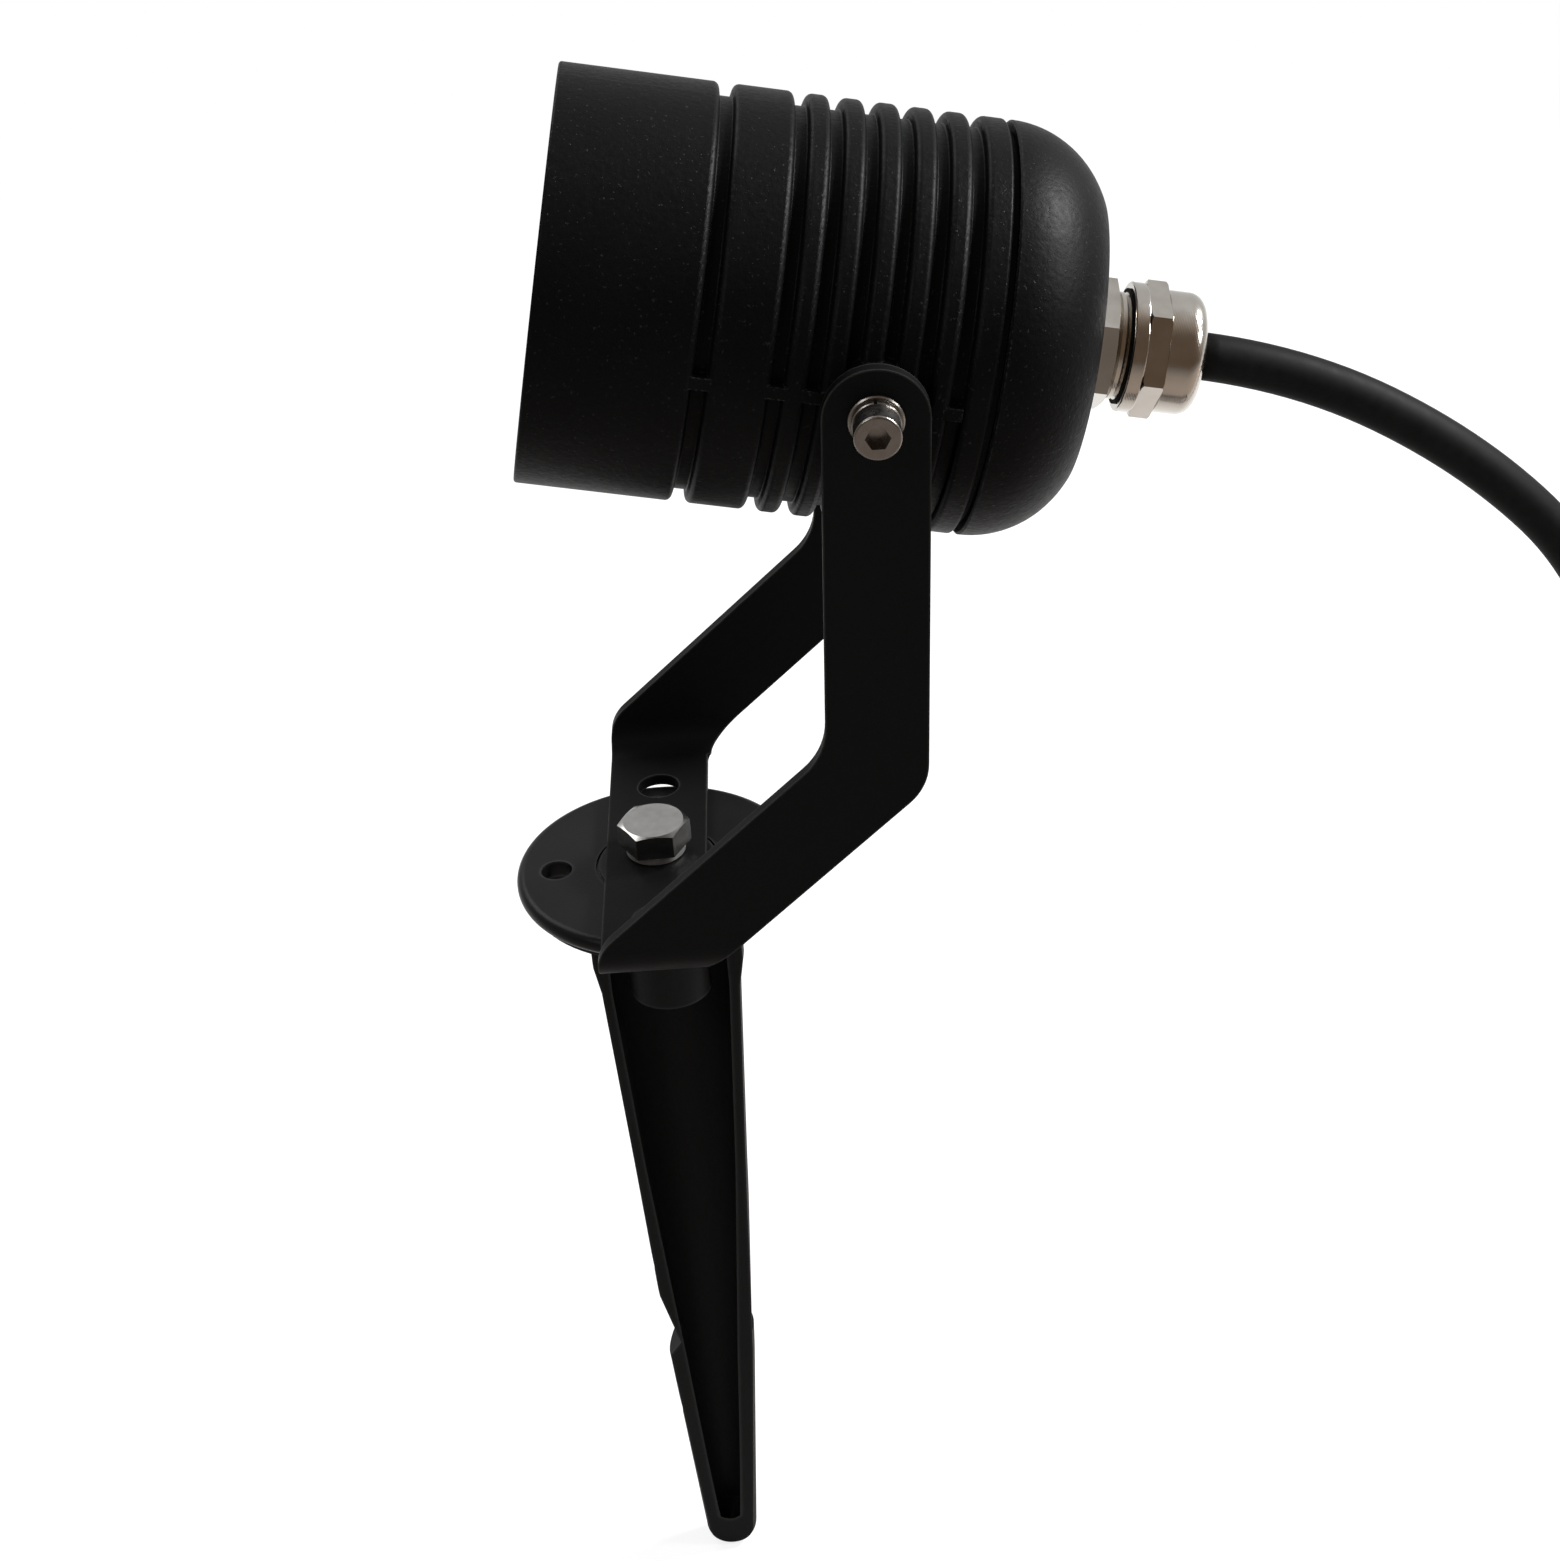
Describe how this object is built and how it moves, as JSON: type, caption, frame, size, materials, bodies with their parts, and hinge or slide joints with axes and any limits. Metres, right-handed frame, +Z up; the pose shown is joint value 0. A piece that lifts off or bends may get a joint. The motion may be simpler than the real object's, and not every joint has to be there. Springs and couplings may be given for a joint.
{
  "type": "garden spike spotlight",
  "caption": "Outdoor spotlight with a ribbed round head that tilts in a cranked yoke, swivelling on a ground spike, with a cable gland and a rubber cable.",
  "frame": {"origin": "centre of the underside of the spike's flange, on the spike's axis, which is the ground line when the spike is pushed in", "axes": "+Z up along the spike, -X the way the lamp shines, +X towards the cable gland, -Y the open side of the spike's channel"},
  "size_m": [0.2373, 0.213, 0.3688],
  "materials": {
    "powder_coat": "black powder coat on die-cast aluminium, matt, fine grained",
    "bracket_paint": "black paint on folded steel strip, satin",
    "spike_plastic": "moulded glass-filled nylon, matt black",
    "disc_plastic": "moulded black plastic, slightly satin",
    "stainless": "stainless steel, bright",
    "nickel_brass": "nickel-plated brass, turned",
    "black_rubber": "matt",
    "window_glass": "clear toughened glass",
    "reflector_metal": "polished",
    "board_metal": "white lacquered",
    "phosphor": "yellow silicone",
    "driver_plastic": "white plastic case",
    "cable_sheath": "black rubber sheath, matt",
    "core_brown": "brown insulation",
    "core_blue": "blue insulation",
    "core_green": "green and yellow insulation",
    "wire_red": "red insulation",
    "tinned_copper": "tin plated copper",
    "tie_nylon": "black nylon"
  },
  "bodies": {
    "base": {"ground_spike": "spike_plastic", "mounting_disc": "disc_plastic", "hex_bolt": "stainless", "spring_washer": "stainless", "captive_nut": "stainless"},
    "yoke": {"yoke_bracket": "bracket_paint", "supply_cable": "cable_sheath", "cable_coil": "cable_sheath", "cable_tie": "tie_nylon", "bare_core_live": "core_brown", "bare_core_neutral": "core_blue", "bare_core_earth": "core_green", "ferrule_live": "tinned_copper", "ferrule_neutral": "tinned_copper", "ferrule_earth": "tinned_copper"},
    "head": {"finned_housing": "powder_coat", "rear_cover": "powder_coat", "cover_gasket": "black_rubber", "front_glass": "window_glass", "glass_gasket": "black_rubber", "reflector": "reflector_metal", "led_board": "board_metal", "led_emitter": "phosphor", "board_screw_upper": "stainless", "board_screw_lower": "stainless", "led_wire_positive": "wire_red", "led_wire_negative": "cable_sheath", "led_driver": "driver_plastic", "driver_screw_upper": "stainless", "driver_screw_lower": "stainless", "terminal_block": "driver_plastic", "inner_core_live": "core_brown", "inner_core_neutral": "core_blue", "inner_core_earth": "core_green", "cable_entry": "cable_sheath", "gland_locknut": "nickel_brass", "gland_body": "nickel_brass", "gland_seal": "black_rubber", "gland_insert": "black_rubber", "gland_claw": "tie_nylon", "gland_nut": "nickel_brass", "pivot_screw_near": "stainless", "lock_washer_near": "stainless", "flat_washer_near": "stainless", "friction_washer_near": "tie_nylon", "pivot_screw_far": "stainless", "lock_washer_far": "stainless", "flat_washer_far": "stainless", "friction_washer_far": "tie_nylon"}
  },
  "joints": [
    {"name": "yoke_swivel", "type": "hinge", "parent": "base", "child": "yoke", "pos_m": [0, 0, 0.0057], "axis": [0, 0, 1], "range_deg": [-175, 175]},
    {"name": "head_tilt", "type": "hinge", "parent": "yoke", "child": "head", "pos_m": [0.05, 0, 0.1247], "axis": [0, 1, 0], "range_deg": [-72, 75], "deforming": ["supply_cable"]}
  ]
}
